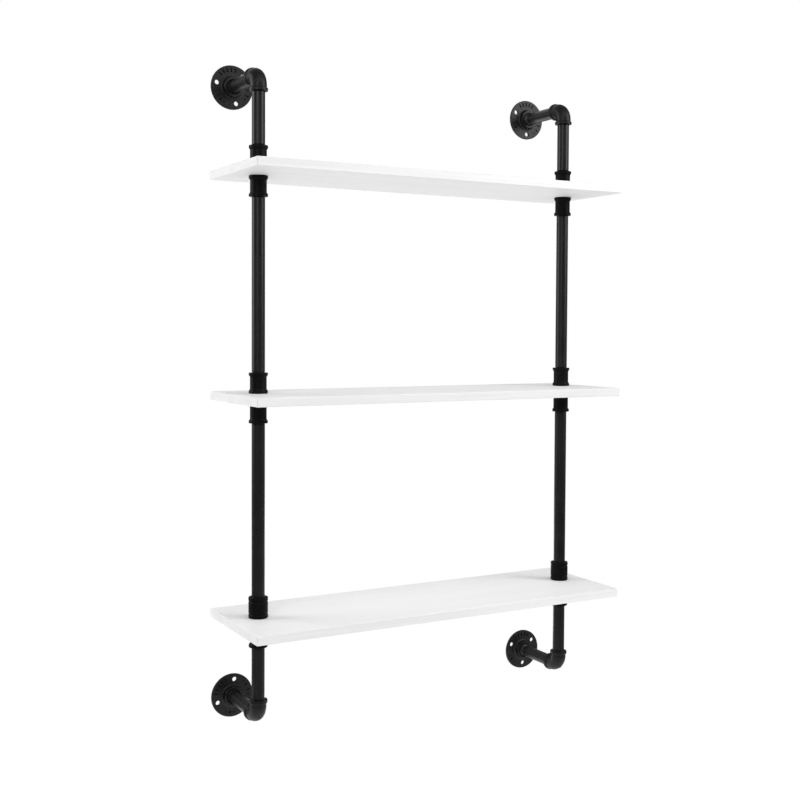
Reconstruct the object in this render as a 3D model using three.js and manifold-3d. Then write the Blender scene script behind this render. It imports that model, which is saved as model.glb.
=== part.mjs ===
// Wall shelf with brackets: three boards clamped on two uprights of iron pipe and cast fittings.
// All sizes are in millimetres. The origin lies on the wall plane, midway between the four wall
// flanges. +X runs to the right along the wall, +Y points into the wall and +Z points up.

import * as THREE from 'three';
import { mergeVertices } from 'three/addons/utils/BufferGeometryUtils.js';
import Module from 'manifold-3d';

const wasm = await Module();
wasm.setup();

// ---- Driving dimensions ----

// Layout of the uprights and boards
const UPRIGHT_SPACING = 760;
const PIPE_TO_WALL = 152;
const BOARD_PITCH = 457;
const BOARD_LENGTH = 880;
const BOARD_DEPTH = 260;
const BOARD_THICKNESS = 18;
const BOARD_BACK_GAP = 33;
const END_RISER_SHOWING = 109;

// Steel pipe, three quarter inch size
const PIPE_RADIUS = 13.45;
const PIPE_BORE_RADIUS = 10.85;
const PIPE_ENGAGEMENT = 15;
const THREAD_GAP = 0.3;
const SEAT_GAP = 0.3;

// Couplings
const COUPLING_LENGTH = 42;
const COUPLING_BODY_RADIUS = 17;
const COUPLING_BAND_RADIUS = 19.4;
const COUPLING_BAND_HEIGHT = 6;
const COUPLING_BAND_SLOPE = 2.2;
const SLEEVE_RADIUS = 20;
const SLEEVE_EDGE = 1.2;

// Elbows
const ELBOW_CENTRE_TO_FACE = 33;
const ELBOW_BEND_RADIUS = 22;
const ELBOW_BODY_RADIUS = 17;
const ELBOW_BAND_RADIUS = 19.2;
const ELBOW_BAND_HEIGHT = 6;

// Wall flanges
const FLANGE_RADIUS = 46.5;
const FLANGE_PLATE = 5;
const FLANGE_HEIGHT = 17;
const FLANGE_HUB_BASE_RADIUS = 24.5;
const FLANGE_HUB_RADIUS = 21.5;
const FLANGE_SOCKET_DEPTH = 13;
const SCREW_HOLES = 3;
const SCREW_HOLE_RADIUS = 4.75;
const SCREW_CIRCLE_RADIUS = 34.5;

// Each flange stops at its own turn when its thread is tight: the angle of the first screw hole,
// in degrees from +X towards +Z, seen from the room.
const FLANGE_TURN = {
  left: { top: 46, bottom: 81 },
  right: { top: 32, bottom: 34 },
};

// Facets around a full circle
const FACETS = 20;
const FLANGE_FACETS = 30;
const BORE_FACETS = 10;
const BEND_STEPS = 7;

// ---- Worked-out dimensions ----

const SOCKET_RADIUS = PIPE_RADIUS + THREAD_GAP;
const END_COUPLING_TO_ARM = END_RISER_SHOWING + ELBOW_CENTRE_TO_FACE;
const ARM_HEIGHT = BOARD_PITCH + BOARD_THICKNESS / 2 + COUPLING_LENGTH + END_COUPLING_TO_ARM;
const BOARD_HEIGHTS = { bottom: -BOARD_PITCH, middle: 0, top: BOARD_PITCH };

// ---- Finishes ----

const FINISHES = {
  pipe: { color: 0x17171a, roughness: 0.5, metalness: 0.45 },
  casting: { color: 0x131315, roughness: 0.62, metalness: 0.4 },
  board: { color: 0xf1f1f0, roughness: 0.5, metalness: 0 },
};

// ---- Shape helpers ----

function namedMesh(name, geometry, finish) {
  const mesh = new THREE.Mesh(geometry, new THREE.MeshStandardMaterial(FINISHES[finish]));
  mesh.name = name;
  return mesh;
}

function toSolid(geometry) {
  const bare = geometry.clone();
  bare.deleteAttribute('normal');
  bare.deleteAttribute('uv');
  const merged = mergeVertices(bare);
  const vertProperties = new Float32Array(merged.attributes.position.array);
  const triVerts = new Uint32Array(merged.index.array);
  return new wasm.Manifold(new wasm.Mesh({ numProp: 3, vertProperties, triVerts }));
}

function toGeometry(solid) {
  const { vertProperties, triVerts } = solid.getMesh();
  const geometry = new THREE.BufferGeometry();
  geometry.setAttribute('position', new THREE.BufferAttribute(vertProperties, 3));
  geometry.setIndex(new THREE.BufferAttribute(triVerts, 1));
  geometry.computeVertexNormals();
  return geometry;
}

// Turns a closed profile of [radius, height] points, counter-clockwise, about the Z axis.
function turned(profile, facets = FACETS) {
  const points = profile.map(([radius, height]) => new THREE.Vector2(radius, height));
  points.push(points[0].clone());
  return new THREE.LatheGeometry(points, facets).rotateX(Math.PI / 2);
}

// ---- Pipes ----

// A pipe cut to length, standing on z = 0.
function pipeGeometry(length) {
  return turned([
    [PIPE_BORE_RADIUS, 0],
    [PIPE_RADIUS, 0],
    [PIPE_RADIUS, length],
    [PIPE_BORE_RADIUS, length],
  ]);
}

// ---- Couplings ----

// Cast coupling with a raised band around each mouth, standing on z = 0.
function bandedCouplingGeometry() {
  const half = COUPLING_LENGTH / 2;
  const bandEdge = 1.3;
  const lowerHalf = [
    [COUPLING_BAND_RADIUS - bandEdge, -half],
    [COUPLING_BAND_RADIUS, -half + bandEdge],
    [COUPLING_BAND_RADIUS, -half + COUPLING_BAND_HEIGHT],
    [COUPLING_BODY_RADIUS, -half + COUPLING_BAND_HEIGHT + COUPLING_BAND_SLOPE],
  ];
  const upperHalf = lowerHalf.map(([radius, height]) => [radius, -height]).reverse();
  const bore = [[SOCKET_RADIUS, half], [SOCKET_RADIUS, -half]];
  return turned([...bore, ...lowerHalf, ...upperHalf]).translate(0, 0, half);
}

// Straight-sided coupling, standing on z = 0.
function sleeveGeometry() {
  return turned([
    [SOCKET_RADIUS, COUPLING_LENGTH],
    [SOCKET_RADIUS, 0],
    [SLEEVE_RADIUS - SLEEVE_EDGE, 0],
    [SLEEVE_RADIUS, SLEEVE_EDGE],
    [SLEEVE_RADIUS, COUPLING_LENGTH - SLEEVE_EDGE],
    [SLEEVE_RADIUS - SLEEVE_EDGE, COUPLING_LENGTH],
  ]);
}

// ---- Elbow ----

// Centre line of a right-angled bend about the corner at the origin: it comes in along the Y axis,
// turns through a quarter circle and leaves along -Z, with a short straight tail at both ends.
class ElbowPath extends THREE.Curve {
  constructor(radius, tail) {
    super();
    this.radius = radius;
    this.tail = tail;
  }

  getPoint(t, target = new THREE.Vector3()) {
    const arc = this.radius * Math.PI / 2;
    const along = t * (arc + 2 * this.tail) - this.tail;
    if (along < 0) {
      return target.set(0, this.radius - along, 0);
    }
    if (along > arc) {
      return target.set(0, 0, -this.radius - (along - arc));
    }
    const angle = along / this.radius;
    const y = this.radius * (1 - Math.sin(angle));
    const z = this.radius * (Math.cos(angle) - 1);
    return target.set(0, y, z);
  }
}

function bentRod(radius, facets) {
  const tail = 4;
  const section = new THREE.Shape().absarc(0, 0, radius, 0, 2 * Math.PI);
  const extrudePath = new ElbowPath(ELBOW_BEND_RADIUS, tail);
  const options = { extrudePath, steps: BEND_STEPS, curveSegments: facets / 2 };
  return toSolid(new THREE.ExtrudeGeometry(section, options));
}

// One solid turned on Z is placed twice: towards the wall along +Y, and down along -Z.
function onBothLegs(profile) {
  const rodProfile = [[0, profile[0][1]], ...profile, [0, profile.at(-1)[1]]];
  const wallLeg = toSolid(turned(rodProfile).rotateX(-Math.PI / 2));
  const downLeg = toSolid(turned(rodProfile).rotateX(Math.PI));
  return wallLeg.add(downLeg);
}

function elbowGeometry() {
  const face = ELBOW_CENTRE_TO_FACE;
  const bandFoot = face - ELBOW_BAND_HEIGHT;
  const bandEdge = 1.2;
  const outside = onBothLegs([
    [ELBOW_BODY_RADIUS - 1, bandFoot - 3],
    [ELBOW_BAND_RADIUS, bandFoot],
    [ELBOW_BAND_RADIUS, face - bandEdge],
    [ELBOW_BAND_RADIUS - bandEdge, face],
  ]);
  const sockets = onBothLegs([
    [SOCKET_RADIUS, face - PIPE_ENGAGEMENT - SEAT_GAP],
    [SOCKET_RADIUS, face + 1],
  ]);
  const body = bentRod(ELBOW_BODY_RADIUS, FACETS).add(outside);
  const bore = bentRod(PIPE_BORE_RADIUS, BORE_FACETS);
  return toGeometry(body.subtract(sockets).subtract(bore));
}

// ---- Wall flange ----

// The flange's back lies on the wall plane y = 0 and its hub points into the room, along -Y.
function flangeGeometry(turnDegrees) {
  const rimEdge = 1.4;
  const lip = 1.6;
  const mouth = 2;
  const stopRadius = SOCKET_RADIUS - 2;
  const stop = FLANGE_HEIGHT - FLANGE_SOCKET_DEPTH - SEAT_GAP;
  const disc = toSolid(turned([
    [stopRadius, stop],
    [stopRadius, 0],
    [FLANGE_RADIUS, 0],
    [FLANGE_RADIUS, FLANGE_PLATE - rimEdge],
    [FLANGE_RADIUS - rimEdge, FLANGE_PLATE],
    [FLANGE_HUB_BASE_RADIUS, FLANGE_PLATE + 1],
    [FLANGE_HUB_RADIUS, FLANGE_PLATE + 4],
    [FLANGE_HUB_RADIUS, FLANGE_HEIGHT - lip],
    [FLANGE_HUB_RADIUS - lip, FLANGE_HEIGHT],
    [SOCKET_RADIUS + mouth, FLANGE_HEIGHT],
    [SOCKET_RADIUS, FLANGE_HEIGHT - mouth],
    [SOCKET_RADIUS, stop],
  ], FLANGE_FACETS));
  const drill = new THREE.CylinderGeometry(
    SCREW_HOLE_RADIUS, SCREW_HOLE_RADIUS, 2 * FLANGE_HEIGHT, FACETS / 2);
  drill.rotateX(Math.PI / 2);
  let drilled = disc;
  for (let hole = 0; hole < SCREW_HOLES; hole += 1) {
    const angle = THREE.MathUtils.degToRad(turnDegrees) + hole * 2 * Math.PI / SCREW_HOLES;
    const x = SCREW_CIRCLE_RADIUS * Math.cos(angle);
    const y = SCREW_CIRCLE_RADIUS * Math.sin(angle);
    drilled = drilled.subtract(toSolid(drill.clone().translate(x, y, 0)));
  }
  return toGeometry(drilled).rotateX(Math.PI / 2);
}

// ---- Boards ----

// A board centred on x = 0 and z = 0, with a clearance hole for the nipple of each upright.
function boardGeometry() {
  const clearance = 0.6;
  const front = -BOARD_BACK_GAP - BOARD_DEPTH;
  const outline = new THREE.Shape();
  outline.moveTo(-BOARD_LENGTH / 2, front);
  outline.lineTo(BOARD_LENGTH / 2, front);
  outline.lineTo(BOARD_LENGTH / 2, -BOARD_BACK_GAP);
  outline.lineTo(-BOARD_LENGTH / 2, -BOARD_BACK_GAP);
  outline.closePath();
  for (const side of [-1, 1]) {
    const hole = new THREE.Path();
    const x = side * UPRIGHT_SPACING / 2;
    hole.absarc(x, -PIPE_TO_WALL, PIPE_RADIUS + clearance, 0, 2 * Math.PI);
    outline.holes.push(hole);
  }
  const options = { depth: BOARD_THICKNESS, bevelEnabled: false, curveSegments: FACETS / 2 };
  return new THREE.ExtrudeGeometry(outline, options).translate(0, 0, -BOARD_THICKNESS / 2);
}

// ---- One upright ----

// A pipe that shows between two heights and is screwed into a fitting at both ends.
function riser(name, lowEnd, highEnd) {
  const length = highEnd - lowEnd + 2 * PIPE_ENGAGEMENT;
  const mesh = namedMesh(name, pipeGeometry(length), 'pipe');
  mesh.position.set(0, -PIPE_TO_WALL, lowEnd - PIPE_ENGAGEMENT);
  return mesh;
}

// Wall flange, arm and elbow at the top or the bottom of an upright.
function wallArm(side, end) {
  const up = end === 'top' ? 1 : -1;
  const arm = new THREE.Group();
  arm.position.z = up * ARM_HEIGHT;

  const flange = flangeGeometry(FLANGE_TURN[side][end]);
  arm.add(namedMesh(`${side}_${end}_flange`, flange, 'casting'));

  const nippleStart = FLANGE_HEIGHT - FLANGE_SOCKET_DEPTH;
  const nippleEnd = PIPE_TO_WALL - ELBOW_CENTRE_TO_FACE + PIPE_ENGAGEMENT;
  const nipple = pipeGeometry(nippleEnd - nippleStart);
  const nippleMesh = namedMesh(`${side}_${end}_arm_nipple`, nipple, 'pipe');
  nippleMesh.rotation.x = Math.PI / 2;
  nippleMesh.position.y = -nippleStart;
  arm.add(nippleMesh);

  const elbow = namedMesh(`${side}_${end}_elbow`, elbowGeometry(), 'casting');
  elbow.position.y = -PIPE_TO_WALL;
  elbow.rotation.y = end === 'top' ? 0 : Math.PI;
  arm.add(elbow);
  return arm;
}

// The two couplings that clamp a board, and the nipple that joins them through the board.
function boardClamp(side, board) {
  const clamp = new THREE.Group();
  clamp.position.set(0, -PIPE_TO_WALL, BOARD_HEIGHTS[board]);
  const seat = BOARD_THICKNESS / 2 + SEAT_GAP;

  const upperShape = board === 'bottom' ? sleeveGeometry() : bandedCouplingGeometry();
  const upper = namedMesh(`${side}_${board}_upper_coupling`, upperShape, 'casting');
  upper.position.z = seat;
  clamp.add(upper);

  const lowerShape = bandedCouplingGeometry();
  const lower = namedMesh(`${side}_${board}_lower_coupling`, lowerShape, 'casting');
  lower.position.z = -seat - COUPLING_LENGTH;
  clamp.add(lower);

  const nippleLength = BOARD_THICKNESS + 2 * PIPE_ENGAGEMENT;
  const nipple = namedMesh(`${side}_${board}_board_nipple`, pipeGeometry(nippleLength), 'pipe');
  nipple.position.z = -nippleLength / 2;
  clamp.add(nipple);
  return clamp;
}

function upright(side) {
  const group = new THREE.Group();
  group.position.x = (side === 'left' ? -1 : 1) * UPRIGHT_SPACING / 2;

  const reach = BOARD_THICKNESS / 2 + SEAT_GAP + COUPLING_LENGTH;
  const elbowFace = ARM_HEIGHT - ELBOW_CENTRE_TO_FACE;
  const { bottom, middle, top } = BOARD_HEIGHTS;
  group.add(wallArm(side, 'top'));
  group.add(riser(`${side}_top_end_riser`, top + reach, elbowFace));
  group.add(boardClamp(side, 'top'));
  group.add(riser(`${side}_upper_bay_riser`, middle + reach, top - reach));
  group.add(boardClamp(side, 'middle'));
  group.add(riser(`${side}_lower_bay_riser`, bottom + reach, middle - reach));
  group.add(boardClamp(side, 'bottom'));
  group.add(riser(`${side}_bottom_end_riser`, -elbowFace, bottom - reach));
  group.add(wallArm(side, 'bottom'));
  return group;
}

// ---- The whole shelf ----

const shelf = new THREE.Group();
shelf.add(upright('left'));
shelf.add(upright('right'));
for (const [board, height] of Object.entries(BOARD_HEIGHTS)) {
  const mesh = namedMesh(`${board}_board`, boardGeometry(), 'board');
  mesh.position.z = height;
  shelf.add(mesh);
}

export default shelf;
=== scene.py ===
# %% [markdown]
# # A wall shelf on black pipe brackets
# Three white boards hang between two uprights of iron pipe. Every part of an upright is a plumber's
# part: floor flanges screw to the wall, short nipples reach out from them, elbows turn the run down,
# and the boards are clamped between couplings that screw onto one nipple through the board.
# The measured model is loaded first as a fixed frame. Every finer piece below takes its place from
# the piece of the frame that it stands for.

# %% Load the frame
import math

import bmesh
import bpy
from mathutils import Matrix, Vector


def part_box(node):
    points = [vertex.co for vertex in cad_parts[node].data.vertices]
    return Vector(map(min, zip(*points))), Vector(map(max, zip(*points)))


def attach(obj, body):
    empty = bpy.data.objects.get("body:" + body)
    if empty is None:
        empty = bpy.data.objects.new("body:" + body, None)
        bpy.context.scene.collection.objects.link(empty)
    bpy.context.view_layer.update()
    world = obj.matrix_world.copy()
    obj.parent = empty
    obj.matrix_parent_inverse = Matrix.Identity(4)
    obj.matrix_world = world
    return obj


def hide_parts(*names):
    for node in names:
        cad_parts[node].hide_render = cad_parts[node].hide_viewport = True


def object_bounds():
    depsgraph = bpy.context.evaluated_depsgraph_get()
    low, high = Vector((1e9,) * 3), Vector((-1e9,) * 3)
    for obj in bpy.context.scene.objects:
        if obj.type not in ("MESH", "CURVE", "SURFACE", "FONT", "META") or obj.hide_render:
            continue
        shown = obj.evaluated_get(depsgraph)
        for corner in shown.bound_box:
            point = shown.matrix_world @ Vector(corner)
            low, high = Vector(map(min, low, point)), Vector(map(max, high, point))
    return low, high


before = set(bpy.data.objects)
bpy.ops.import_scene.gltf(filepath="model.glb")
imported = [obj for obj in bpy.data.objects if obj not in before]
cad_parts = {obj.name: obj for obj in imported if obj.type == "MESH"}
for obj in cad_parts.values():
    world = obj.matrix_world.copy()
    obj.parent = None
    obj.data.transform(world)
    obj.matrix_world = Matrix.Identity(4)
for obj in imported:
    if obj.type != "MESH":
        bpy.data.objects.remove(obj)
cad_low, cad_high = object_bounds()
MM = 0.001
print("pieces in the frame:", len(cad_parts), "box:", cad_low[:], cad_high[:])

# %% [markdown]
# ## Camera
# The shelf is seen from its left, at the height of the middle board. The camera looks a little down,
# and the small vertical shift keeps the uprights almost parallel, as the shift lens of a studio
# camera does. A yaw, a pitch and a roll are easier to read than an Euler angle, so the matrix is
# built from three rotations.

# %% Camera
CAMERA_PLACE = Vector((-1.2686, -2.3363, 0.1456))
CAMERA_YAW = math.radians(29.12)
CAMERA_PITCH = math.radians(-1.94)
CAMERA_ROLL = math.radians(0.27)
LENS = 52.08
SENSOR_WIDTH = 36
SHIFT_Y = -0.0427


def add_camera():
    data = bpy.data.cameras.new("shelf_camera")
    data.lens = LENS
    data.sensor_width = SENSOR_WIDTH
    data.shift_y = SHIFT_Y
    camera = bpy.data.objects.new("shelf_camera", data)
    turn = Matrix.Rotation(-CAMERA_YAW, 4, "Z")
    tilt = Matrix.Rotation(math.pi / 2 + CAMERA_PITCH, 4, "X")
    roll = Matrix.Rotation(CAMERA_ROLL, 4, "Z")
    camera.matrix_world = Matrix.Translation(CAMERA_PLACE) @ turn @ tilt @ roll
    bpy.context.scene.collection.objects.link(camera)
    bpy.context.scene.camera = camera


add_camera()
print("camera stands", round(CAMERA_PLACE.length, 2), "m from the middle of the wall flanges")

# %% [markdown]
# ## Floor and light
# White boards and black iron are lit apart. A glowing white floor and a low softbox behind the
# shelf keep the undersides of the boards bright, and softboxes high in front and behind light
# their tops. Broad softboxes at the sides draw the long soft highlights that make a pipe look
# round. The world is a dim grey for lighting, so that black paint has something dark to reflect,
# and plain white to the camera.

# %% World and floor
scene = bpy.context.scene
scene.view_settings.view_transform = "Standard"
ROOM_LIGHT = 0.3
FLOOR_DROP = 0.75
FLOOR_SIZE = 3.8
FLOOR_GREY = 0.3
FLOOR_GLOW = 1.05


def build_world():
    world = bpy.data.worlds.new("studio")
    world.use_nodes = True
    nodes = world.node_tree.nodes
    links = world.node_tree.links
    background = nodes["Background"]
    background.inputs["Color"].default_value = (1, 1, 1, 1)
    path = nodes.new("ShaderNodeLightPath")
    strength = nodes.new("ShaderNodeMapRange")
    strength.inputs["To Min"].default_value = ROOM_LIGHT
    strength.inputs["To Max"].default_value = 1.0
    links.new(path.outputs["Is Camera Ray"], strength.inputs["Value"])
    links.new(strength.outputs["Result"], background.inputs["Strength"])
    scene.world = world


def build_floor():
    bm = bmesh.new()
    bmesh.ops.create_grid(bm, x_segments=1, y_segments=1, size=FLOOR_SIZE / 2)
    bmesh.ops.translate(bm, verts=bm.verts, vec=(0, 0, cad_low.z - FLOOR_DROP))
    mesh = bpy.data.meshes.new("floor")
    bm.to_mesh(mesh)
    bm.free()
    floor = bpy.data.objects.new("floor", mesh)
    scene.collection.objects.link(floor)
    material = bpy.data.materials.new("pale_floor")
    material.use_nodes = True
    shader = material.node_tree.nodes["Principled BSDF"]
    shader.inputs["Base Color"].default_value = (FLOOR_GREY, FLOOR_GREY, FLOOR_GREY, 1)
    shader.inputs["Roughness"].default_value = 0.9
    shader.inputs["Specular IOR Level"].default_value = 0.1
    shader.inputs["Emission Color"].default_value = (1, 1, 1, 1)
    shader.inputs["Emission Strength"].default_value = FLOOR_GLOW
    mesh.materials.append(material)


build_world()
build_floor()
print("floor:", FLOOR_SIZE, "m wide,", FLOOR_DROP, "m under the shelf")

# %% [markdown]
# An area light is a softbox with a plain cloth. The power of a light says little about how bright
# it looks, because a larger cloth spreads it, so this helper takes the brightness of the cloth and
# works out the power. All softboxes are aimed at one point in the middle of the shelf.

# %% Softboxes
AIM = Vector((0, -0.15, 0))


def softbox(name, place, width, height, brightness):
    """An area light that faces the shelf. The brightness is that of its cloth, and white is 1."""
    data = bpy.data.lights.new(name, "AREA")
    data.shape = "RECTANGLE"
    data.size = width
    data.size_y = height
    data.energy = brightness * math.pi * width * height
    light = bpy.data.objects.new(name, data)
    facing = (AIM - Vector(place)).to_track_quat("-Z", "Y")
    light.matrix_world = Matrix.Translation(place) @ facing.to_matrix().to_4x4()
    scene.collection.objects.link(light)


softbox("left_front", (-2.06, -2.3, 1.4), 1.5, 2.1, 3.1)
softbox("right_front", (2.25, -2.1, 1.4), 1.5, 2.1, 5.8)
softbox("left_back", (-2.4, 1.3, 0.8), 1.4, 2.0, 4.8)
softbox("high_front", (0.1, -1.9, 2.3), 2.2, 1.4, 1.8)
softbox("high_back", (0.2, 1.9, 2.2), 2.2, 1.4, 0.9)
softbox("low_back", (0.6, 1.7, -1.15), 2.4, 1.2, 2.5)

# %% [markdown]
# ## Finishes
# Three finishes are on the real shelf: satin black paint on drawn pipe, the same paint on rough sand
# castings, and white paint on wood. Paint hides the colour of what is under it but not its shape,
# so most of the difference between them is in the bump and the roughness. Effects that more than
# one finish uses are node groups with named sockets.

# %% Node helpers


def link(tree, source, target):
    tree.links.new(source, target)


def new_group(name, inputs, outputs):
    """An empty shader group. inputs are (name, default) pairs: a tuple makes a vector socket."""
    group = bpy.data.node_groups.new(name, "ShaderNodeTree")
    for socket_name, default in inputs:
        kind = "NodeSocketVector" if isinstance(default, tuple) else "NodeSocketFloat"
        socket = group.interface.new_socket(socket_name, in_out="INPUT", socket_type=kind)
        socket.default_value = default
    for socket_name in outputs:
        group.interface.new_socket(socket_name, in_out="OUTPUT", socket_type="NodeSocketFloat")
    start = group.nodes.new("NodeGroupInput")
    end = group.nodes.new("NodeGroupOutput")
    return group, start, end


def noise_node(tree, vector, scale, detail=2.0, roughness=0.5):
    node = tree.nodes.new("ShaderNodeTexNoise")
    node.inputs["Detail"].default_value = detail
    node.inputs["Roughness"].default_value = roughness
    link(tree, vector, node.inputs["Vector"])
    if isinstance(scale, (int, float)):
        node.inputs["Scale"].default_value = scale
    else:
        link(tree, scale, node.inputs["Scale"])
    return node.outputs["Fac"]


def map_range(tree, value, low, high, to_low=0.0, to_high=1.0):
    node = tree.nodes.new("ShaderNodeMapRange")
    node.inputs["From Min"].default_value = low
    node.inputs["From Max"].default_value = high
    node.inputs["To Min"].default_value = to_low
    node.inputs["To Max"].default_value = to_high
    link(tree, value, node.inputs["Value"])
    return node.outputs["Result"]


def maths(tree, operation, first, second):
    node = tree.nodes.new("ShaderNodeMath")
    node.operation = operation
    for socket, value in zip(node.inputs, (first, second)):
        if isinstance(value, (int, float)):
            socket.default_value = value
        else:
            link(tree, value, socket)
    return node.outputs["Value"]


# %% [markdown]
# ### Shared effects
# `sand_skin` is the pebbled skin that a sand mould leaves: fine grains on slow lumps. `paint_film` is
# the slight orange peel of sprayed paint, with patches where it lies thicker and shines more.
# The edge group finds the convex edges, which the finishes paint lighter: a painted highlight.

# %% Shared effects


def sand_skin_group():
    inputs = [("Vector", (0.0, 0.0, 0.0)), ("Grain Scale", 900.0), ("Lump Scale", 160.0)]
    group, start, end = new_group("sand_skin", inputs, ["Height", "Pits"])
    place = start.outputs["Vector"]
    grain = noise_node(group, place, start.outputs["Grain Scale"], 3.0, 0.6)
    lumps = noise_node(group, place, start.outputs["Lump Scale"], 2.0, 0.5)
    soft_lumps = maths(group, "MULTIPLY", lumps, 0.9)
    height = maths(group, "ADD", grain, soft_lumps)
    link(group, height, end.inputs["Height"])
    link(group, map_range(group, grain, 0.34, 0.5), end.inputs["Pits"])
    return group


def paint_film_group():
    inputs = [("Vector", (0.0, 0.0, 0.0)), ("Peel Scale", 700.0)]
    group, start, end = new_group("paint_film", inputs, ["Height", "Patches"])
    place = start.outputs["Vector"]
    peel = noise_node(group, place, start.outputs["Peel Scale"], 1.0, 0.4)
    patches = noise_node(group, place, 22.0, 4.0, 0.55)
    link(group, peel, end.inputs["Height"])
    link(group, map_range(group, patches, 0.3, 0.7), end.inputs["Patches"])
    return group


# A mask of the convex edges. The finishes paint these edges a lighter colour, which is a painted highlight.
def painted_edge_highlight_group():
    inputs = [("Vector", (0.0, 0.0, 0.0)), ("Start", 0.53), ("Full", 0.62)]
    group, start, end = new_group("painted_edge_highlight", inputs, ["Mask"])
    geometry = group.nodes.new("ShaderNodeNewGeometry")
    edge = group.nodes.new("ShaderNodeMapRange")
    link(group, geometry.outputs["Pointiness"], edge.inputs["Value"])
    link(group, start.outputs["Start"], edge.inputs["From Min"])
    link(group, start.outputs["Full"], edge.inputs["From Max"])
    breakup = noise_node(group, start.outputs["Vector"], 350.0, 3.0, 0.6)
    broken = map_range(group, breakup, 0.35, 0.6)
    link(group, maths(group, "MULTIPLY", edge.outputs["Result"], broken), end.inputs["Mask"])
    return group


SAND_SKIN = sand_skin_group()
PAINT_FILM = paint_film_group()
PAINTED_EDGE_HIGHLIGHT = painted_edge_highlight_group()

# %% [markdown]
# ### Building a material
# Each helper adds one kind of node and gives back the socket that carries its result, so that a
# finish reads from top to bottom like a recipe. Patterns read Object coordinates: every piece
# stands at the origin, so a pattern has its true size and runs on from one piece to the next.

# %% Material helpers


def new_material(name, specular):
    material = bpy.data.materials.new(name)
    material.use_nodes = True
    tree = material.node_tree
    shader = tree.nodes["Principled BSDF"]
    shader.inputs["Specular IOR Level"].default_value = specular
    place = tree.nodes.new("ShaderNodeTexCoord").outputs["Object"]
    return material, tree, shader, place


def use_group(tree, group, place, **values):
    node = tree.nodes.new("ShaderNodeGroup")
    node.node_tree = group
    link(tree, place, node.inputs["Vector"])
    for name, value in values.items():
        node.inputs[name.replace("_", " ")].default_value = value
    return node


def stretched(tree, place, scale, slant=0.0):
    """Coordinates for a noise that is drawn out along the axes with the small scales."""
    node = tree.nodes.new("ShaderNodeMapping")
    node.inputs["Rotation"].default_value = (0, slant, 0)
    node.inputs["Scale"].default_value = scale
    link(tree, place, node.inputs["Vector"])
    return node.outputs["Vector"]


def mix_colour(tree, mask, low, high):
    node = tree.nodes.new("ShaderNodeMix")
    node.data_type = "RGBA"
    link(tree, mask, node.inputs["Factor"])
    for socket, value in ((node.inputs[6], low), (node.inputs[7], high)):
        if isinstance(value, tuple):
            socket.default_value = (*value, 1)
        else:
            link(tree, value, socket)
    return node.outputs[2]


def add_bump(tree, shader, height, distance, strength, below=None):
    node = tree.nodes.new("ShaderNodeBump")
    node.inputs["Distance"].default_value = distance
    node.inputs["Strength"].default_value = strength
    link(tree, height, node.inputs["Height"])
    if below is not None:
        link(tree, below, node.inputs["Normal"])
    link(tree, node.outputs["Normal"], shader.inputs["Normal"])
    return node.outputs["Normal"]


# %% [markdown]
# ### Black paint on drawn pipe
# Pipe is smooth along its length, with faint lines left by the rolls. The lines are a noise that is
# stretched along the pipe, so the upright pipes and the arms each need their own stretch.

# %% Pipe finish
PIPE_BLACK = (0.004, 0.004, 0.0043)
PIPE_BLACK_THIN = (0.0085, 0.0085, 0.0088)
# The lighter colour of a painted highlight on the convex edges of a pipe.
PIPE_EDGE_HIGHLIGHT = (0.03, 0.03, 0.031)
PIPE_GLOSS = 0.25
LINES_ACROSS = 900
LINES_ALONG = 9


def pipe_finish(name, line_scale):
    material, tree, shader, place = new_material(name, PIPE_GLOSS)
    lines = noise_node(tree, stretched(tree, place, line_scale), 1.0, 3.0, 0.6)
    film = use_group(tree, PAINT_FILM, place, Peel_Scale=620.0)
    edges = use_group(tree, PAINTED_EDGE_HIGHLIGHT, place, Start=0.54, Full=0.64)
    paint = mix_colour(tree, film.outputs["Patches"], PIPE_BLACK, PIPE_BLACK_THIN)
    # Convex edges get a lighter colour here: a painted highlight.
    with_edge_highlight = mix_colour(tree, edges.outputs["Mask"], paint, PIPE_EDGE_HIGHLIGHT)
    link(tree, with_edge_highlight, shader.inputs["Base Color"])
    gloss = map_range(tree, film.outputs["Patches"], 0.0, 1.0, 0.31, 0.4)
    link(tree, gloss, shader.inputs["Roughness"])
    drawn = add_bump(tree, shader, lines, 0.00005, 0.35)
    add_bump(tree, shader, film.outputs["Height"], 0.00004, 0.5, below=drawn)
    return material


upright_lines = (LINES_ACROSS, LINES_ACROSS, LINES_ALONG)
arm_lines = (LINES_ACROSS, LINES_ALONG, LINES_ACROSS)
UPRIGHT_PAINT = pipe_finish("black_paint_on_upright_pipe", upright_lines)
ARM_PAINT = pipe_finish("black_paint_on_arm_pipe", arm_lines)
print("pipe finishes:", UPRIGHT_PAINT.name, "and", ARM_PAINT.name)

# %% [markdown]
# ### Black paint on castings
# Malleable iron comes out of a sand mould, and the paint follows its grain. The pits stay dull and
# are painted darker, which is painted shade, and the edges of the bands are painted lighter, which is
# a painted highlight. The flanges are the roughest and shiniest castings, and the couplings are
# smoother and painted almost matt. The raised marks of the flanges have the same finish with hardly
# any gloss, which makes them dark: painted shade for the shadows along their edges.

# %% Casting finish
CASTING_BLACK = (0.0018, 0.0018, 0.002)
CASTING_BLACK_THIN = (0.004, 0.004, 0.0042)
# The darker colour that is painted into the pits of the sand skin: painted shade.
PIT_SHADE_BLACK = (0.0012, 0.0012, 0.0013)
# The lighter colour of a painted highlight on the convex edges of a casting.
CASTING_EDGE_HIGHLIGHT = (0.05, 0.05, 0.051)


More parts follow.
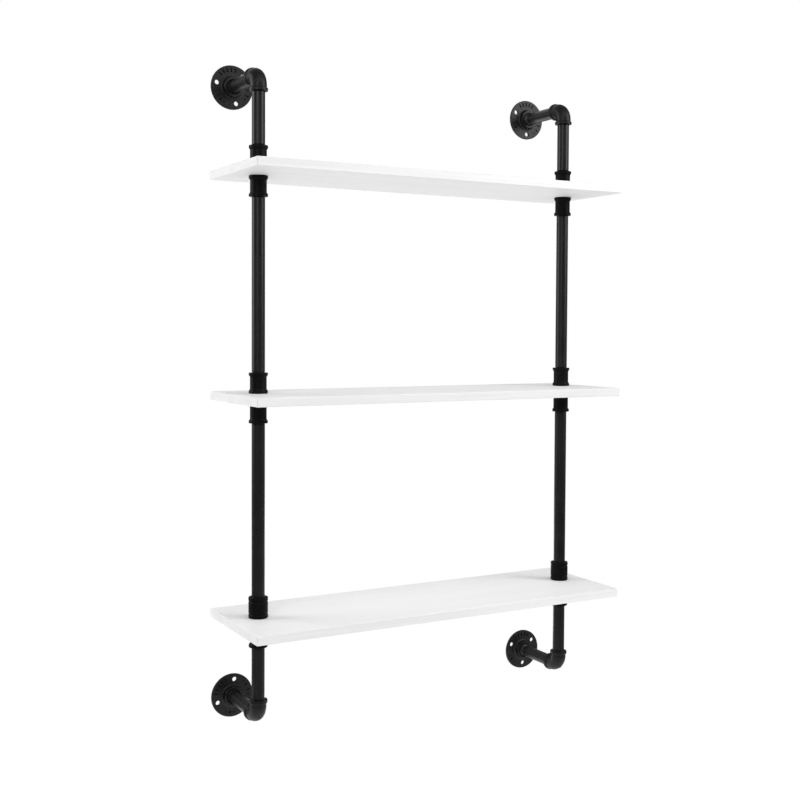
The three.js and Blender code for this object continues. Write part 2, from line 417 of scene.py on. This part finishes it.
def casting_finish(name, grain_scale, grain_depth, specular):
    material, tree, shader, place = new_material(name, specular)
    skin = use_group(tree, SAND_SKIN, place, Grain_Scale=grain_scale, Lump_Scale=170.0)
    film = use_group(tree, PAINT_FILM, place, Peel_Scale=500.0)
    edges = use_group(tree, PAINTED_EDGE_HIGHLIGHT, place, Start=0.535, Full=0.64)
    paint = mix_colour(tree, film.outputs["Patches"], CASTING_BLACK, CASTING_BLACK_THIN)
    # The pits get a darker colour: painted shade in the hollows of the grain.
    with_pit_shade = mix_colour(tree, skin.outputs["Pits"], PIT_SHADE_BLACK, paint)
    # Convex edges get a lighter colour here: a painted highlight.
    with_edge_highlight = mix_colour(tree, edges.outputs["Mask"], with_pit_shade, CASTING_EDGE_HIGHLIGHT)
    link(tree, with_edge_highlight, shader.inputs["Base Color"])
    gloss = map_range(tree, skin.outputs["Pits"], 0.0, 1.0, 0.6, 0.42)
    link(tree, gloss, shader.inputs["Roughness"])
    add_bump(tree, shader, skin.outputs["Height"], grain_depth, 0.7)
    return material


FLANGE_PAINT = casting_finish("black_paint_on_flange", 620.0, 0.00035, 0.34)
ELBOW_PAINT = casting_finish("black_paint_on_elbow", 850.0, 0.0002, 0.24)
COUPLING_PAINT = casting_finish("black_paint_on_coupling", 950.0, 0.00016, 0.08)
# A copy of the flange finish with hardly any gloss. It makes the marks dark, as painted shade for the
# shadows along their edges.
MARK_SHADE_PAINT = casting_finish("painted_shade_on_marks", 700.0, 0.00016, 0.05)
print("casting finishes:", [m.name for m in (FLANGE_PAINT, ELBOW_PAINT, COUPLING_PAINT, MARK_SHADE_PAINT)])

# %% [markdown]
# ### White paint on wood
# The boards are painted, but the grain still shows through as fine streaks along the board. They
# are two noises stretched along X. The wide faces are sanded almost plain. The edges are cut across
# the layers of wood, so their streaks slant a little and stand out more, and the surface normal
# tells the two kinds of face apart. The colour changes by only a few percent.

# %% Board finish
WHITE_LOW = (0.79, 0.79, 0.787)
WHITE_HIGH = (0.92, 0.92, 0.918)
BOARD_GLOSS = 0.28
GRAIN_SLANT = math.radians(6)
FIBRE_SCALE = (5.0, 200.0, 200.0)
BAND_SCALE = (2.2, 30.0, 60.0)
EDGE_GRAIN = 0.6
FACE_GRAIN = 0.25


def grain_strength(tree):
    """Weak on the wide faces of a board and strong on its edges."""
    normal = tree.nodes.new("ShaderNodeSeparateXYZ")
    link(tree, tree.nodes.new("ShaderNodeNewGeometry").outputs["Normal"], normal.inputs["Vector"])
    level = maths(tree, "ABSOLUTE", normal.outputs["Z"], 0.0)
    return map_range(tree, level, 0.2, 0.8, EDGE_GRAIN, FACE_GRAIN)


def board_finish():
    material, tree, shader, place = new_material("white_paint_on_wood", BOARD_GLOSS)
    along_fibres = stretched(tree, place, FIBRE_SCALE, GRAIN_SLANT)
    along_bands = stretched(tree, place, BAND_SCALE, GRAIN_SLANT)
    fibres = noise_node(tree, along_fibres, 1.0, 5.0, 0.62)
    bands = noise_node(tree, along_bands, 1.0, 3.0, 0.5)
    half_fibres = maths(tree, "MULTIPLY", fibres, 0.5)
    half_bands = maths(tree, "MULTIPLY", bands, 0.5)
    both = maths(tree, "ADD", half_fibres, half_bands)
    streaks = map_range(tree, both, 0.36, 0.62, -0.5, 0.5)
    shade = maths(tree, "ADD", maths(tree, "MULTIPLY", streaks, grain_strength(tree)), 0.5)
    link(tree, mix_colour(tree, shade, WHITE_LOW, WHITE_HIGH), shader.inputs["Base Color"])
    film = use_group(tree, PAINT_FILM, place, Peel_Scale=420.0)
    gloss = map_range(tree, film.outputs["Patches"], 0.0, 1.0, 0.42, 0.52)
    link(tree, gloss, shader.inputs["Roughness"])
    pores = add_bump(tree, shader, map_range(tree, fibres, 0.3, 0.55), 0.0001, 0.3)
    add_bump(tree, shader, film.outputs["Height"], 0.00003, 0.4, below=pores)
    return material


BOARD_PAINT = board_finish()
print("finishes:", [m.name for m in bpy.data.materials if m.use_nodes])

# %% [markdown]
# ## Making pieces
# Every piece is a bmesh built around its own axis, then turned and moved to its place in the frame.
# Shading is smooth on round surfaces and stays sharp at real corners. Weighted normals keep a wide
# face flat right up to its rounded edge, so that the edge alone catches the light.

# %% Piece helpers
SHARP_ANGLE = math.radians(35)
TO_ROOM = Matrix.Rotation(math.pi / 2, 4, "X")  # turns +Z into -Y, away from the wall


def finish_piece(name, bm, finishes, node):
    """Closes the mesh, gives it its finishes and puts it in place of a piece of the frame."""
    bmesh.ops.remove_doubles(bm, verts=bm.verts, dist=0.002 * MM)
    bmesh.ops.recalc_face_normals(bm, faces=bm.faces)
    mesh = bpy.data.meshes.new(name)
    bm.to_mesh(mesh)
    bm.free()
    mesh.shade_smooth()
    mesh.set_sharp_from_angle(angle=SHARP_ANGLE)
    for finish in finishes:
        mesh.materials.append(finish)
    piece = bpy.data.objects.new(name, mesh)
    scene.collection.objects.link(piece)
    flats = piece.modifiers.new("flat_faces_stay_flat", "WEIGHTED_NORMAL")
    flats.keep_sharp = True
    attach(piece, "root")
    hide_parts(node)
    return piece


def turned(outline, steps=48):
    """Spins a closed outline about Z. Its corners are (radius, height, rounding), in millimetres."""
    bm = bmesh.new()
    corners = [bm.verts.new((radius * MM, 0, height * MM)) for radius, height, _ in outline]
    for first, second in zip(corners, corners[1:] + corners[:1]):
        bm.edges.new((first, second))
    for corner, (_, _, rounding) in zip(corners, outline):
        if rounding:
            bmesh.ops.bevel(bm, geom=[corner], affect="VERTICES", offset=rounding * MM,
                            segments=4, profile=0.5, material=-1)
    bmesh.ops.spin(bm, geom=bm.verts[:] + bm.edges[:], cent=(0, 0, 0), axis=(0, 0, 1),
                   angle=2 * math.pi, steps=steps, use_merge=True)
    return bm


def node_centre(node):
    low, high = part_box(node)
    return (low + high) / 2


# %% [markdown]
# ## Pipes
# Each pipe is a tube with a pipe thread cut on both ends. A thread is a triangle that is spun round
# the axis and lifted by one pitch a turn, which the spin operator does with its `dvec`. It sits on a
# core that is turned down to the thread's root.

# %% Thread
PIPE_RADIUS = 13.45
PIPE_BORE = 10.85
THREAD_PITCH = 1.814
THREAD_DEPTH = 1.0
THREAD_SINK = 0.15
CREST_DROP = 0.08
RIDGE_WIDTH = 0.88 * THREAD_PITCH
THREAD_STEPS = 36


def add_thread(bm, start, end):
    """Adds a ridge that winds from one height to another, in millimetres."""
    root = PIPE_RADIUS - THREAD_DEPTH - THREAD_SINK
    crest = PIPE_RADIUS - CREST_DROP
    half = RIDGE_WIDTH / 2
    corners = [(root, start - half), (crest, start), (root, start + half)]
    verts = [bm.verts.new((radius * MM, 0, height * MM)) for radius, height in corners]
    face = bm.faces.new(verts)
    turns = (end - start) / THREAD_PITCH
    steps = round(turns * THREAD_STEPS)
    bmesh.ops.spin(bm, geom=verts + face.edges[:] + [face], cent=(0, 0, 0), axis=(0, 0, 1),
                   angle=2 * math.pi * turns, steps=steps,
                   dvec=(0, 0, (end - start) * MM / steps), use_merge=False)


# %% [markdown]
# The tube is a body of revolution. Its outline is a long thin rectangle that steps down to the
# thread's core at both ends, over the short cone where the die stopped cutting.

# %% Pipe
THREAD_RUNOUT = 1.4
TUBE_EDGE = 0.5
END_MARGIN = THREAD_PITCH / 2 + 0.1


def pipe_mesh(length, low_thread, high_thread):
    """A tube on z = 0 with a thread of the given length at either end, in millimetres."""
    core = PIPE_RADIUS - THREAD_DEPTH
    outline = [
        (PIPE_BORE, TUBE_EDGE, 0),
        (PIPE_BORE + TUBE_EDGE, 0, 0),
        (core - TUBE_EDGE, 0, 0),
        (core, TUBE_EDGE, 0),
        (core, low_thread, 0.3),
        (PIPE_RADIUS, low_thread + THREAD_RUNOUT, 0.4),
        (PIPE_RADIUS, length - high_thread - THREAD_RUNOUT, 0.4),
        (core, length - high_thread, 0.3),
        (core, length - TUBE_EDGE, 0),
        (core - TUBE_EDGE, length, 0),
        (PIPE_BORE + TUBE_EDGE, length, 0),
        (PIPE_BORE, length - TUBE_EDGE, 0),
    ]
    bm = turned(outline)
    add_thread(bm, END_MARGIN, low_thread)
    add_thread(bm, length - high_thread, length - END_MARGIN)
    return bm


# %% [markdown]
# A thread is about as long as its socket, so none of it shows when the joint is tight. The two
# right-hand flanges stop earlier on their nipples, which leaves a few turns in sight there.

# %% Upright pipes
SOCKET_THREAD = 15.6
NIPPLE_THREAD = 21.5
FLANGE_THREAD = {"left": 12.5, "right": 20.5}
SIDES = ("left", "right")
ENDS = ("top", "bottom")
BOARDS = ("top", "middle", "bottom")


def upright_pipe(node, thread):
    low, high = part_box(node)
    centre = (low + high) / 2
    bm = pipe_mesh((high.z - low.z) / MM, thread, thread)
    bmesh.ops.translate(bm, verts=bm.verts, vec=(centre.x, centre.y, low.z))
    return finish_piece(f"{node}_pipe", bm, [UPRIGHT_PAINT], node)


for side in SIDES:
    for run in ("top_end", "upper_bay", "lower_bay", "bottom_end"):
        pipe = upright_pipe(f"{side}_{run}_riser", SOCKET_THREAD)
        print(pipe.name, "length", round(pipe.dimensions.z / MM), "mm")
    for board in BOARDS:
        upright_pipe(f"{side}_{board}_board_nipple", NIPPLE_THREAD)

# %% [markdown]
# An arm is the same pipe, laid on its side. It is made upright and then turned, so that its z = 0
# end meets the wall flange.

# %% Arms


def arm_pipe(side, end):
    node = f"{side}_{end}_arm_nipple"
    low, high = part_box(node)
    centre = (low + high) / 2
    bm = pipe_mesh((high.y - low.y) / MM, FLANGE_THREAD[side], SOCKET_THREAD)
    place = Matrix.Translation((centre.x, high.y, centre.z)) @ TO_ROOM
    bmesh.ops.transform(bm, matrix=place, verts=bm.verts)
    return finish_piece(f"{node}_pipe", bm, [ARM_PAINT], node)


for side in SIDES:
    for end in ENDS:
        pipe = arm_pipe(side, end)
        print(pipe.name, "length", round(pipe.dimensions.y / MM), "mm")

# %% [markdown]
# ## Couplings
# A coupling is a sleeve with a female thread. Most of them are cast with a thick band round each
# mouth, which keeps the thin wall from splitting. They are bodies of revolution, so the outline is
# drawn once, its corners are rounded, and the spin operator turns it.

# %% Banded couplings
SOCKET_BORE = 13.75
MOUTH_RADIUS = 14.8
COUPLING_LENGTH = (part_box("left_top_upper_coupling")[1].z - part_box("left_top_upper_coupling")[0].z) / MM
BAND_RADIUS = 19.4
BODY_RADIUS = 16.9


def mirrored_outline(half, length):
    """Completes an outline that is given from the lower mouth to the middle of the piece."""
    return half + [(radius, length - height, rounding) for radius, height, rounding in reversed(half)]


def banded_coupling_mesh():
    half = [
        (SOCKET_BORE, MOUTH_RADIUS - SOCKET_BORE, 0.2),
        (MOUTH_RADIUS, 0, 0.3),
        (BAND_RADIUS, 0, 1.5),
        (BAND_RADIUS, 5.6, 1.7),
        (BODY_RADIUS, 8.0, 1.8),
    ]
    return turned(mirrored_outline(half, COUPLING_LENGTH), steps=64)


# %% [markdown]
# The two couplings on top of the bottom board are a different casting: straight-sided, as thick as
# the bands of the others, with a shallow groove near each mouth.

# %% Straight couplings
SLEEVE_RADIUS = 20.0
GROOVE_DEPTH = 1.1


def straight_coupling_mesh():
    half = [
        (SOCKET_BORE, MOUTH_RADIUS - SOCKET_BORE, 0.2),
        (MOUTH_RADIUS, 0, 0.3),
        (SLEEVE_RADIUS, 0, 1.2),
        (SLEEVE_RADIUS, 6.6, 0.5),
        (SLEEVE_RADIUS - GROOVE_DEPTH, 7.5, 0.3),
        (SLEEVE_RADIUS - GROOVE_DEPTH, 9.1, 0.3),
        (SLEEVE_RADIUS - 0.15, 10.2, 0.5),
    ]
    return turned(mirrored_outline(half, COUPLING_LENGTH), steps=64)


# %% [markdown]
# Every coupling takes its height and its axis from its piece of the frame.

# %% Place the couplings


def coupling(side, board, where):
    node = f"{side}_{board}_{where}_coupling"
    low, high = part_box(node)
    centre = (low + high) / 2
    straight = board == "bottom" and where == "upper"
    bm = straight_coupling_mesh() if straight else banded_coupling_mesh()
    bmesh.ops.translate(bm, verts=bm.verts, vec=(centre.x, centre.y, low.z))
    return finish_piece(f"{node}_casting", bm, [COUPLING_PAINT], node)


for side in SIDES:
    for board in BOARDS:
        for where in ("upper", "lower"):
            coupling(side, board, where)

# %% [markdown]
# ## Elbows
# An elbow is a quarter bend with a banded socket on both legs. The spin operator bends a circle
# through ninety degrees, and the sockets grow from its two end rings: each step extrudes the ring,
# moves it along the leg and scales it. The inside is made the same way, so the casting is a real
# shell with a bore. A foundry leaves a small pad on the back of the bend for its mark. This pad is
# blank: a low disc that is sunk into the casting.

# %% Growing a tube ring by ring
RING_SIDES = 64


def grow_ring(bm, ring, centre, direction, radius, stations):
    """Extrudes a ring of edges through (distance, radius) stations, in millimetres. The distances
    count from the ring's own plane. It gives back the last ring."""
    travelled = 0
    for distance, new_radius in stations:
        made = bmesh.ops.extrude_edge_only(bm, edges=ring)["geom"]
        verts = [v for v in made if isinstance(v, bmesh.types.BMVert)]
        ring = [e for e in made if isinstance(e, bmesh.types.BMEdge) and
                e.verts[0] in verts and e.verts[1] in verts]
        here = Vector(centre) + Vector(direction) * travelled * MM
        there = Vector(centre) + Vector(direction) * distance * MM
        size = Matrix.Scale(new_radius / radius, 4)
        step = Matrix.Translation(there) @ size @ Matrix.Translation(-here)
        bmesh.ops.transform(bm, matrix=step, verts=verts)
        travelled = distance
        radius = new_radius
    return ring


def round_sharp_rings(bm, smallest_angle, offset, segments):
    """Bevels every edge between two faces that meet at more than an angle."""
    bm.normal_update()
    sharp = [e for e in bm.edges if e.is_manifold and e.calc_face_angle(0) > smallest_angle]
    bmesh.ops.bevel(bm, geom=sharp, affect="EDGES", offset=offset * MM, segments=segments,
                    profile=0.5, material=-1, clamp_overlap=True)


# %% [markdown]
# The same leg is grown at both ends of the bend: a short cone, the band, the mouth, the socket and
# the seat that the pipe stops at. A second spin joins the two seats through the inside. The edges
# between the steps are then rounded, because a casting has no sharp ones.

# %% Elbow
BEND_RADIUS = 22.0
ELBOW_BODY = 17.0
ELBOW_BAND = 19.2
ELBOW_REACH = 33.0
BAND_HEIGHT = 5.6
BAND_SLOPE = 1.3
SEAT_SLOPE = 0.6
SOCKET_DEPTH = 15.3
BEND_STEPS = 20


def elbow_mesh():
    """A bend about the corner at the origin: one leg points to the wall, the other one down."""
    bm = bmesh.new()
    circle = bmesh.ops.create_circle(bm, segments=RING_SIDES, radius=ELBOW_BODY * MM)["verts"]
    start = Matrix.Translation((0, BEND_RADIUS * MM, 0)) @ Matrix.Rotation(math.pi / 2, 4, "X")
    bmesh.ops.transform(bm, matrix=start, verts=circle)
    wall_ring = bm.edges[:]
    pivot = Vector((0, BEND_RADIUS, -BEND_RADIUS)) * MM
    swept = bmesh.ops.spin(bm, geom=circle + wall_ring, cent=pivot, axis=(1, 0, 0),
                           angle=math.pi / 2, steps=BEND_STEPS, use_merge=False)
    down_ring = [e for e in swept["geom_last"] if isinstance(e, bmesh.types.BMEdge)]
    reach = ELBOW_REACH - BEND_RADIUS
    leg = [
        (reach - BAND_HEIGHT - BAND_SLOPE, ELBOW_BODY),
        (reach - BAND_HEIGHT, ELBOW_BAND),
        (reach, ELBOW_BAND),
        (reach, MOUTH_RADIUS),
        (reach - MOUTH_RADIUS + SOCKET_BORE, SOCKET_BORE),
        (reach - SOCKET_DEPTH + SEAT_SLOPE, SOCKET_BORE),
        (reach - SOCKET_DEPTH, PIPE_BORE),
    ]
    wall_end = grow_ring(bm, wall_ring, (0, BEND_RADIUS * MM, 0), (0, 1, 0), ELBOW_BODY, leg)
    grow_ring(bm, down_ring, (0, 0, -BEND_RADIUS * MM), (0, 0, -1), ELBOW_BODY, leg)
    inner = list({v for e in wall_end for v in e.verts})
    socket_floor = ELBOW_REACH - SOCKET_DEPTH
    bmesh.ops.spin(bm, geom=inner + wall_end, cent=Vector((0, socket_floor, -socket_floor)) * MM,
                   axis=(1, 0, 0), angle=math.pi / 2, steps=BEND_STEPS, use_merge=False)
    bmesh.ops.remove_doubles(bm, verts=bm.verts, dist=0.002 * MM)
    bmesh.ops.recalc_face_normals(bm, faces=bm.faces)
    round_sharp_rings(bm, math.radians(32), 0.9, 4)
    return bm


# %% [markdown]
# The pad is a cone with two equal radii, which is a disc. It stands square to the bend at its
# middle, half a millimetre proud, and its rims are rounded.

# %% Pad and places of the elbows
PAD_RADIUS = 5.0
PAD_RISE = 0.5
PAD_DEPTH = 4.0


def add_pad(bm):
    """A blank disc on the outside of the bend, half way round it."""
    pivot = Matrix.Translation(Vector((0, BEND_RADIUS, -BEND_RADIUS)) * MM)
    outwards = Matrix.Rotation(math.radians(45), 4, "X")
    height = BEND_RADIUS + ELBOW_BODY + PAD_RISE - PAD_DEPTH / 2
    place = pivot @ outwards @ Matrix.Translation((0, 0, height * MM))
    made = bmesh.ops.create_cone(bm, cap_ends=True, segments=32, radius1=PAD_RADIUS * MM,
                                 radius2=PAD_RADIUS * MM, depth=PAD_DEPTH * MM, matrix=place)["verts"]
    bm.normal_update()
    rims = list({e for v in made for e in v.link_edges if e.calc_face_angle(0) > 1})
    bmesh.ops.bevel(bm, geom=rims, affect="EDGES", offset=0.5 * MM, segments=3, profile=0.5,
                    material=-1)


def elbow(side, end):
    node = f"{side}_{end}_elbow"
    riser = node_centre(f"{side}_{end}_end_riser")
    arm = node_centre(f"{side}_{end}_arm_nipple")
    bm = elbow_mesh()
    add_pad(bm)
    if end == "bottom":
        bmesh.ops.rotate(bm, verts=bm.verts, cent=(0, 0, 0), matrix=Matrix.Rotation(math.pi, 3, "Y"))
    bmesh.ops.translate(bm, verts=bm.verts, vec=(riser.x, riser.y, arm.z))
    return finish_piece(f"{node}_casting", bm, [ELBOW_PAINT], node)


for side in SIDES:
    for end in ENDS:
        piece = elbow(side, end)
        print(piece.name, len(piece.data.polygons), "faces")

# %% [markdown]
# ## Wall flanges
# A floor flange is a round plate with a threaded hub and three screw holes. A plate with holes is
# drawn flat: the rings of its rim, hub and holes are filled with triangles, once for the front and
# once for the back, and each ring then grows the wall between the two.

# %% Flange
PLATE_RADIUS = 46.5
PLATE = 5.0
HUB_HEIGHT = 17.0
HUB_RADIUS = 21.6
HUB_FOOT = 28.0
STOP_RADIUS = 11.75
SCREW_CIRCLE = 34.5
SCREW_HOLE = 4.75
RIM_LAND = 3.0
HOLE_LAND = 1.6
FLANGE_TURN = {"left_top": 46, "left_bottom": 81, "right_top": 32, "right_bottom": 34}


def ring_at(bm, radius, centre, height, sides):
    """A ring of edges, in millimetres."""
    verts = bmesh.ops.create_circle(bm, segments=sides, radius=radius * MM)["verts"]
    bmesh.ops.translate(bm, verts=verts, vec=Vector((centre[0], centre[1], height)) * MM)
    return list({e for v in verts for e in v.link_edges})


def screw_places(turn):
    angles = [math.radians(turn + 120 * hole) for hole in range(3)]
    return [(SCREW_CIRCLE * math.cos(a), SCREW_CIRCLE * math.sin(a)) for a in angles]


def flange_mesh(turn):
    """A flange with its back on z = 0 and its hub along +Z."""
    bm = bmesh.new()
    rim_land = PLATE_RADIUS - RIM_LAND
    hole_land = SCREW_HOLE + HOLE_LAND
    walls = []
    for height in (PLATE, 0):
        rim = ring_at(bm, rim_land, (0, 0), height, 96)
        hub = ring_at(bm, HUB_FOOT, (0, 0), height, 96)
        holes = [ring_at(bm, hole_land, place, height, 32) for place in screw_places(turn)]
        bmesh.ops.triangle_fill(bm, edges=rim + hub + sum(holes, []), use_beauty=True)
        walls.append((rim, hub, holes))
    rim, hub, holes = walls[0]
    grow_ring(bm, rim, (0, 0, PLATE * MM), (0, 0, -1), rim_land,
              [(0, PLATE_RADIUS), (PLATE, PLATE_RADIUS), (PLATE, rim_land)])
    for ring, place in zip(holes, screw_places(turn)):
        centre = Vector((place[0], place[1], PLATE)) * MM
        grow_ring(bm, ring, centre, (0, 0, -1), hole_land,
                  [(0, SCREW_HOLE), (PLATE, SCREW_HOLE), (PLATE, hole_land)])
    rise = HUB_HEIGHT - PLATE
    grow_ring(bm, hub, (0, 0, PLATE * MM), (0, 0, 1), HUB_FOOT, [
        (0.5, HUB_RADIUS + 2.4),
        (3.2, HUB_RADIUS),
        (rise, HUB_RADIUS - 0.6),
        (rise, SOCKET_BORE + 2),
        (rise - 2, SOCKET_BORE),
        (4 - PLATE, SOCKET_BORE),
        (3.6 - PLATE, STOP_RADIUS),
        (-PLATE, STOP_RADIUS),
        (-PLATE, HUB_FOOT),
    ])
    bmesh.ops.remove_doubles(bm, verts=bm.verts, dist=0.002 * MM)
    bmesh.ops.recalc_face_normals(bm, faces=bm.faces)
    round_sharp_rings(bm, math.radians(33), 0.9, 3)
    return bm


# %% [markdown]
# A foundry casts marks into a flange. Here they are plain: short raised bars like the ticks of a dial,
# and round pips. They are low lumps that are sunk into the plate. Their faces take a dull copy of the
# flange finish, which makes them dark: painted shade.

# %% Casting marks
MARK_RADIUS = 37.0
MARK_RISE = 1.1


# The faces of a mark take the dull second finish, which paints shade on them.
def give_mark_shade_paint(verts):
    for face in {f for v in verts for f in v.link_faces}:
        face.material_index = 1


def add_bar(bm, radius, angle, length, width):
    """A rounded bar that points outwards on the face of the plate."""
    made = bmesh.ops.create_cube(bm, size=1)["verts"]
    bmesh.ops.scale(bm, verts=made, vec=Vector((length, width, 2 * MARK_RISE)) * MM)
    edges = list({e for v in made for e in v.link_edges})
    made = bmesh.ops.bevel(bm, geom=edges, affect="EDGES", offset=0.4 * MM, segments=3,
                           profile=0.5, material=-1)["verts"]
    place = Matrix.Rotation(angle, 4, "Z") @ Matrix.Translation(Vector((radius, 0, PLATE)) * MM)
    bmesh.ops.transform(bm, matrix=place, verts=made)
    give_mark_shade_paint(made)


def add_pip(bm, radius, angle, size):
    made = bmesh.ops.create_uvsphere(bm, u_segments=16, v_segments=8, radius=size * MM)["verts"]
    bmesh.ops.scale(bm, verts=made, vec=(1, 1, MARK_RISE / size))
    place = Matrix.Rotation(angle, 4, "Z") @ Matrix.Translation(Vector((radius, 0, PLATE)) * MM)
    bmesh.ops.transform(bm, matrix=place, verts=made)
    give_mark_shade_paint(made)


def add_casting_marks(bm, turn):
    for step in (-2, -1, 0, 1, 2):
        add_bar(bm, MARK_RADIUS, math.radians(turn + 60 + 14 * step), 9.0, 2.4)
    for step, size in ((-1, 1.7), (0, 2.9), (1, 1.7)):
        add_pip(bm, MARK_RADIUS, math.radians(turn + 180 + 15 * step), size)
    for step in (-1, 1):
        add_bar(bm, MARK_RADIUS, math.radians(turn + 300 + 10 * step), 7.0, 2.4)
        add_pip(bm, MARK_RADIUS, math.radians(turn + 300 + 25 * step), 1.9)


# %% [markdown]
# Each flange was screwed on until it was tight, so each one stopped at a turn of its own.

# %% Place the flanges
for side in SIDES:
    for end in ENDS:
        node = f"{side}_{end}_flange"
        low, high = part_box(node)
        turn = FLANGE_TURN[f"{side}_{end}"]
        bm = flange_mesh(turn)
        add_casting_marks(bm, turn)
        place = Matrix.Translation(((low.x + high.x) / 2, high.y, (low.z + high.z) / 2)) @ TO_ROOM
        bmesh.ops.transform(bm, matrix=place, verts=bm.verts)
        piece = finish_piece(f"{node}_casting", bm, [FLANGE_PAINT, MARK_SHADE_PAINT], node)
        print(piece.name, len(piece.data.polygons), "faces")

# %% [markdown]
# ## Boards
# A board is a panel with eased edges and two clearance holes. It is drawn like the flange: a flat
# outline with two rings in it is filled, and the edges grow from it.

# %% Board
EDGE_LAND = 6.0
EDGE_ROUND = 1.9
CORNER_ROUND = 3.2
NIPPLE_HOLE = 14.05


def rectangle_at(bm, length, depth, height):
    made = bmesh.ops.create_grid(bm, x_segments=1, y_segments=1, size=0.5)["verts"]
    bmesh.ops.scale(bm, verts=made, vec=(length, depth, 1))
    bmesh.ops.translate(bm, verts=made, vec=(0, 0, height))
    face = made[0].link_faces[0]
    edges = face.edges[:]
    bmesh.ops.delete(bm, geom=[face], context="FACES_ONLY")
    return edges


def board_mesh(length, depth, thickness, holes):
    """A panel about its own centre, in metres. The holes are places on it."""
    bm = bmesh.new()
    land = EDGE_LAND * MM
    inner = (length - 2 * land, depth - 2 * land)
    rings = []
    for height in (thickness / 2, -thickness / 2):
        rim = rectangle_at(bm, *inner, height)
        drilled = [ring_at(bm, NIPPLE_HOLE + 2, (x / MM, y / MM), height / MM, 48) for x, y in holes]
        bmesh.ops.triangle_fill(bm, edges=rim + sum(drilled, []), use_beauty=True)
        rings.append((rim, drilled))
    rim, drilled = rings[0]
    ring = rim
    for size, height in (((length, depth), 0), ((length, depth), -thickness), (inner, -thickness)):
        made = bmesh.ops.extrude_edge_only(bm, edges=ring)["geom"]
        verts = [v for v in made if isinstance(v, bmesh.types.BMVert)]
        ring = [e for e in made if isinstance(e, bmesh.types.BMEdge) and
                e.verts[0] in verts and e.verts[1] in verts]
        for vert in verts:
            vert.co.x = math.copysign(size[0] / 2, vert.co.x)
            vert.co.y = math.copysign(size[1] / 2, vert.co.y)
            vert.co.z = thickness / 2 + height
    for ring, (x, y) in zip(drilled, holes):
        grow_ring(bm, ring, (x, y, thickness / 2), (0, 0, -1), NIPPLE_HOLE + 2,
                  [(0, NIPPLE_HOLE), (thickness / MM, NIPPLE_HOLE), (thickness / MM, NIPPLE_HOLE + 2)])
    bmesh.ops.remove_doubles(bm, verts=bm.verts, dist=0.002 * MM)
    bmesh.ops.recalc_face_normals(bm, faces=bm.faces)
    at_an_end = length / 2 - 0.1 * MM
    corners = [e for e in bm.edges if abs(e.verts[0].co.z - e.verts[1].co.z) > thickness / 2 and
               abs(e.verts[0].co.x) > at_an_end]
    bmesh.ops.bevel(bm, geom=corners, affect="EDGES", offset=CORNER_ROUND * MM, segments=6,
                    profile=0.5, material=-1)
    round_sharp_rings(bm, math.radians(40), EDGE_ROUND, 4)
    return bm


# %% [markdown]
# The size of a board and the places of its holes come from the frame, so the boards always fit
# their nipples.

# %% Place the boards
for board in BOARDS:
    node = f"{board}_board"
    low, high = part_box(node)
    centre = (low + high) / 2
    size = high - low
    nipples = [node_centre(f"{side}_{board}_board_nipple") - centre for side in SIDES]
    bm = board_mesh(size.x, size.y, size.z, [(nipple.x, nipple.y) for nipple in nipples])
    bmesh.ops.translate(bm, verts=bm.verts, vec=centre)
    piece = finish_piece(f"{node}_panel", bm, [BOARD_PAINT], node)
    print(piece.name, [round(side_length / MM) for side_length in piece.dimensions], "mm")
